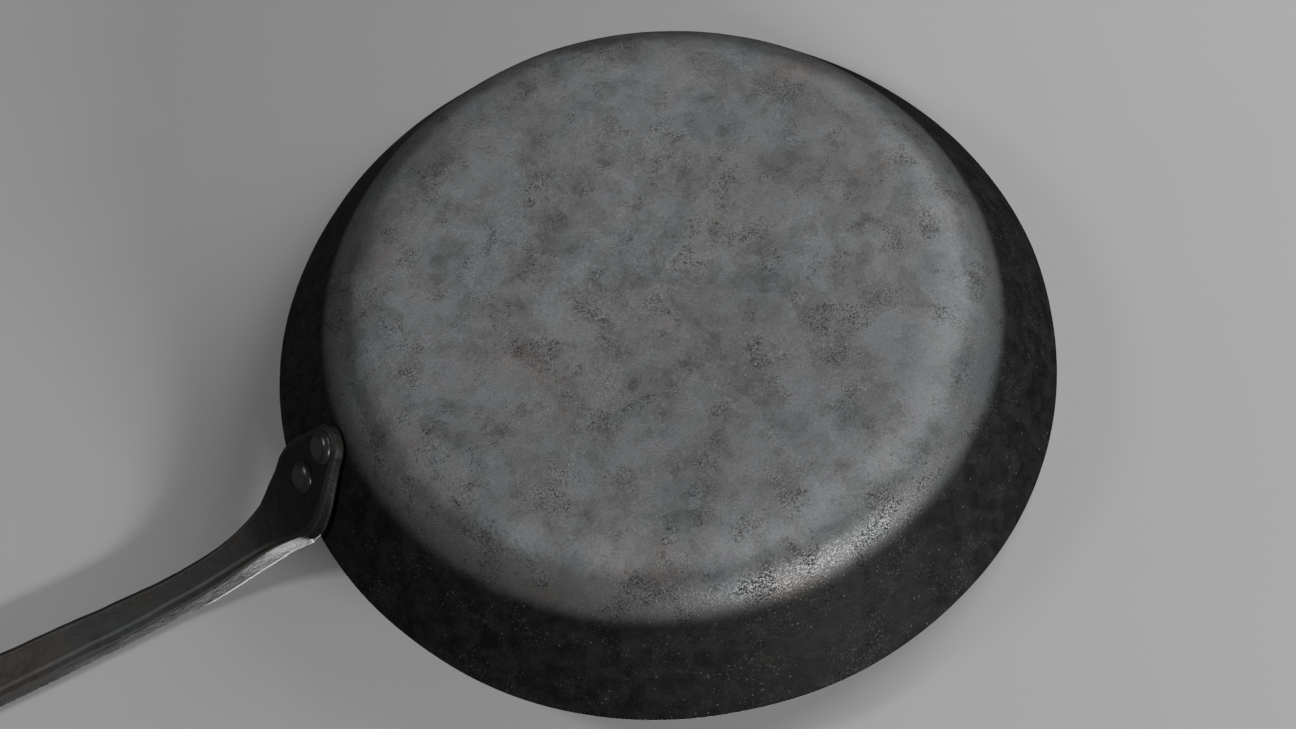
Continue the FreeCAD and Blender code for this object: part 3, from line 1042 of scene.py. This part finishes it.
# %% Seasoned sheet: gloss and relief
gloss = spread(tree, fine_layers["Tone"], 0, 1, 0.50, 0.56)
gloss = plus(tree, gloss, times(tree, base_share, 0.04))
gloss = plus(tree, gloss, times(tree, dots["Dots"], 0.15))
gloss = less(tree, gloss, times(tree, burnished, 0.20))
gloss = less(tree, gloss, times(tree, mask_of(tree, "inside"), 0.20))
tree.links.new(gloss, shader.inputs["Roughness"])
height = plus(tree, times(tree, layers["Height"], 0.35), dots["Height"])
relief(tree, shader, less(tree, height, times(tree, lines, 0.2)), 0.8, 0.16 * MM)
shader.inputs["Specular IOR Level"].default_value = 0.18
print("seasoned sheet", len(tree.nodes), "nodes")

# %% [markdown]
# The bar came off the forge with scale on it. Hands have rubbed the broad faces to a dull warm
# grey, the chamfers are speckled, the sides and the plate keep their black, and the corners
# shine. One rough finish, lightened by the masks for face, grip and edge, covers all of that.

# %% Forged bar
bar_finish, tree, shader, where = new_material("forged_bar", grey(0.07))
scale_patches = placed(tree, flaked, Vector=where, Patches=150.0, Crispness=0.3)
dots = placed(tree, grit, Vector=where, Fineness=1700.0, Crowding=0.75, Everywhere=0.45)
lines = placed(tree, hairlines, Vector=where, Amount=0.5)["Lines"]
grip = mask_of(tree, "grip")
rubbing = times(tree, mask_of(tree, "face"), spread(tree, grip, 0, 1, 0.05, 1.0))
rubbing = times(tree, rubbing, spread(tree, scale_patches["Tone"], 0, 1, 0.70, 1.0))
edge_wear = placed(tree, rubbed, Vector=where, Edge=mask_of(tree, "edge"), Wear=0.60)["Mask"]
edge_wear = times(tree, edge_wear, spread(tree, grip, 0, 0.4, 0.25, 1.0))
colour = coats(
    tree, blend(tree, rubbing, grey(0.012), grey(0.078, 0.05)),
    (dots["Dots"], 0.5, grey(0.022)),
    (dots["Specks"], 0.35, grey(0.16, 0.08)),
    (dots["Flecks"], 0.4, grey(0.13, 0.04)),
    (edge_wear, 0.3, grey(0.22, 0.05)),
    (lines, 0.3, grey(0.14)),
)
colour = placed(tree, tints, Vector=where, Color=colour, Strength=0.7)["Color"]
tree.links.new(colour, shader.inputs["Base Color"])
gloss = plus(tree, spread(tree, rubbing, 0, 1, 0.46, 0.62), times(tree, dots["Dots"], 0.1))
tree.links.new(less(tree, gloss, times(tree, edge_wear, 0.16)), shader.inputs["Roughness"])
height = plus(tree, scale_patches["Height"], times(tree, dots["Height"], 0.8))
relief(tree, shader, height, 0.8, 0.16 * MM)
shader.inputs["Specular IOR Level"].default_value = 0.35
print("forged bar", len(tree.nodes), "nodes")

# %% [markdown]
# The rivets share the pan's black, but their crowns have been rubbed smooth by every cloth and
# hob they have met. The crown mask lowers the roughness there, and peening marks stay in the mesh.

# %% Rivet steel
rivet_finish, tree, shader, where = new_material("rivet_steel", grey(0.05))
dots = placed(tree, grit, Vector=where, Fineness=2200.0, Crowding=0.6, Everywhere=0.3)
crown = placed(tree, rubbed, Vector=where, Edge=mask_of(tree, "crown"), Wear=0.55)["Mask"]
colour = coats(tree, grey(0.03), (crown, 0.5, grey(0.10, 0.02)), (dots["Dots"], 0.5, grey(0.016)))
colour = placed(tree, tints, Vector=where, Color=colour, Strength=0.6)["Color"]
tree.links.new(colour, shader.inputs["Base Color"])
tree.links.new(spread(tree, crown, 0, 1, 0.30, 0.24), shader.inputs["Roughness"])
relief(tree, shader, dots["Height"], 0.4, 0.05 * MM)
print("rivet steel", len(tree.nodes), "nodes")

# %% Pieces take their finish and the CAD's place
STANDS_FOR = (
    (pan, "pan_body", "seasoned_sheet", sheet_finish),
    (handle, "handle", "forged_bar", bar_finish),
    (upper_rivet, "rivet_upper", "rivet_steel", rivet_finish),
    (lower_rivet, "rivet_lower", "rivet_steel", rivet_finish),
)
for piece, node, material_slot, finish in STANDS_FOR:
    piece.data.materials.clear()
    piece.data.materials.append(finish)
    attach(piece, "root")
    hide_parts(node)
print("pieces", [piece.name for piece, *_ in STANDS_FOR])

# %% [markdown]
# Two floors serve two ways of looking. From above, the pan stands on its base on a level floor.
# From below, it is a pan turned over: it rests on the far side of its rim and on the end of its
# handle, so that floor leans a few degrees. Each floor is seen from one side only, because the
# camera on its other side has to look through it. The leaning floor is made of narrow level
# treads, like very low stairs, so that a low view from above meets only their backs.

# %% Floor finish
FLOOR_DROP = 0.3 * MM
FLOOR_REACH = 4.0
TREADS = 160
TREAD_OVERLAP = 1.0 * MM
PICTURE_MARGIN = 1.25

floor_finish = bpy.data.materials.new("pale_floor")
floor_finish.use_nodes = True
tree = floor_finish.node_tree
shader = tree.nodes["Principled BSDF"]
space = add(tree, "ShaderNodeTexCoord").outputs["Object"]
floor_colour = blend(tree, noise(tree, space, 9.0, 3), grey(0.56, 0.01), grey(0.60, 0.01))
tree.links.new(floor_colour, shader.inputs["Base Color"])
shader.inputs["Roughness"].default_value = 0.85
shader.inputs["Specular IOR Level"].default_value = 0.2
clear = add(tree, "ShaderNodeBsdfTransparent")
one_sided = add(tree, "ShaderNodeMixShader", {
    0: add(tree, "ShaderNodeNewGeometry").outputs["Backfacing"],
    1: shader.outputs["BSDF"],
    2: clear.outputs["BSDF"],
})
tree.links.new(one_sided.outputs[0], tree.nodes["Material Output"].inputs["Surface"])


# %% Floors
def floor_piece(name, points, faces):
    """A floor that only the camera sees and that casts no shadow, so that light passes through it."""
    mesh = bpy.data.meshes.new(name)
    mesh.from_pydata(points, [], faces)
    mesh.materials.append(floor_finish)
    floor = put_in_scene(name, mesh)
    floor.visible_shadow = False
    floor.visible_diffuse = False
    floor.visible_glossy = False
    floor.visible_transmission = False
    floor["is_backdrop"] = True


square = [(x * FLOOR_REACH, y * FLOOR_REACH, -FLOOR_DROP) for x, y in ((-1, -1), (1, -1), (1, 1), (-1, 1))]
floor_piece("floor_level", square, [(0, 1, 2, 3)])

rim_rest = Vector((-RIM_RADIUS, 0, pan_high.z + FLOOR_DROP))
handle_rest = Vector((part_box("handle")[1].x, 0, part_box("handle")[1].z + FLOOR_DROP))
lean = (handle_rest.z - rim_rest.z) / (handle_rest.x - rim_rest.x)
floor_normal = Vector((-lean, 0, 1)).normalized()
half_picture = lens.sensor_width / 2 / lens.lens * PICTURE_MARGIN
corners = []
for across, up in itertools.product((-1, 1), repeat=2):
    ray = -backward + camera_right * across * half_picture + camera_up * up * half_picture / PICTURE_SHAPE
    corners.append(camera_place + ray * ((rim_rest - camera_place).dot(floor_normal) / ray.dot(floor_normal)))
low = [min(c[k] for c in corners) for k in range(2)]
high = [max(c[k] for c in corners) for k in range(2)]
treads = np.linspace(low[0], high[0], TREADS + 1)
starts, ends = treads[:-1] - TREAD_OVERLAP, treads[1:]
levels = rim_rest.z + lean * (ends - rim_rest.x)
tread_points = np.stack([
    np.stack((x, np.full(TREADS, y), levels), -1)
    for x, y in ((starts, low[1]), (starts, high[1]), (ends, high[1]), (ends, low[1]))
], axis=1).reshape(-1, 3)
floor_piece("floor_leaning", tread_points.tolist(), np.arange(4 * TREADS).reshape(-1, 4).tolist())
print("leaning floor, degrees", round(math.degrees(math.atan(lean)), 2))

# %% [markdown]
# The light is soft studio light: panels that the dark steel can reflect. One panel faces the
# turned-over base and greys it. It hangs near the pan, because a near light fades across the base
# from one side to the other. A long, narrow one runs a highlight along the shoulder, and a small
# one puts a crescent on each rivet. Their power is low, because the floor lets light through: in
# views from above they reach the outside of the wall from below. One more panel hangs above for
# those views, and a soft-edged sun, straight down, carries the level floor to the horizon.

# %% Lights
MIDDLE = Vector((20, 0, 20)) * MM


def panel(name, direction, distance, width, height, power):
    """A rectangular panel light that faces the pan's middle from a direction."""
    light = bpy.data.lights.new(name, "AREA")
    light.shape = "RECTANGLE"
    light.size = width
    light.size_y = height
    light.energy = power
    lamp = put_in_scene(name, light)
    away = Vector(direction).normalized()
    lamp.location = MIDDLE + away * distance
    lamp.rotation_mode = "QUATERNION"
    lamp.rotation_quaternion = away.to_track_quat("Z", "Y")


panel("base_panel", (-0.75, 0.13, -0.65), 0.75, 0.6, 0.5, 2.8)
panel("shoulder_panel", (-0.25, -0.92, -0.31), 1.3, 0.60, 0.07, 12.5)
panel("rivet_panel", (0.70, 0.30, -0.65), 1.4, 0.24, 0.24, 4)
panel("upper_panel", (-0.05, 0.50, 0.86), 2.0, 0.8, 0.8, 24)

sky = bpy.data.lights.new("overhead_sky", "SUN")
sky.energy = 1.6
sky.angle = math.radians(12)
put_in_scene("overhead_sky", sky)
print("lights", sorted(light.name for light in bpy.data.lights))

# %% Surroundings
world = bpy.data.worlds.new("studio")
bpy.context.scene.world = world
world.use_nodes = True
tree = world.node_tree
seen = add(tree, "ShaderNodeLightPath").outputs["Is Camera Ray"]
surround = add(tree, "ShaderNodeBackground", {"Color": grey(0.045), "Strength": 1.0})
backdrop = add(tree, "ShaderNodeBackground", {"Color": grey(0.62, 0.01), "Strength": 1.0})
mixed = add(tree, "ShaderNodeMixShader", {0: seen, 1: surround.outputs[0], 2: backdrop.outputs[0]})
tree.links.new(mixed.outputs[0], tree.nodes["World Output"].inputs["Surface"])

# %% [markdown]
# Last, the visual model's box is written beside the CAD model's, so that the two can be compared.

# %% Sizes
bpy.context.view_layer.update()
low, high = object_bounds()
differences = zip((*low, *high), (*cad_low, *cad_high))
print("visual box less CAD box, mm", [round((ours - cad) / MM, 2) for ours, cad in differences])
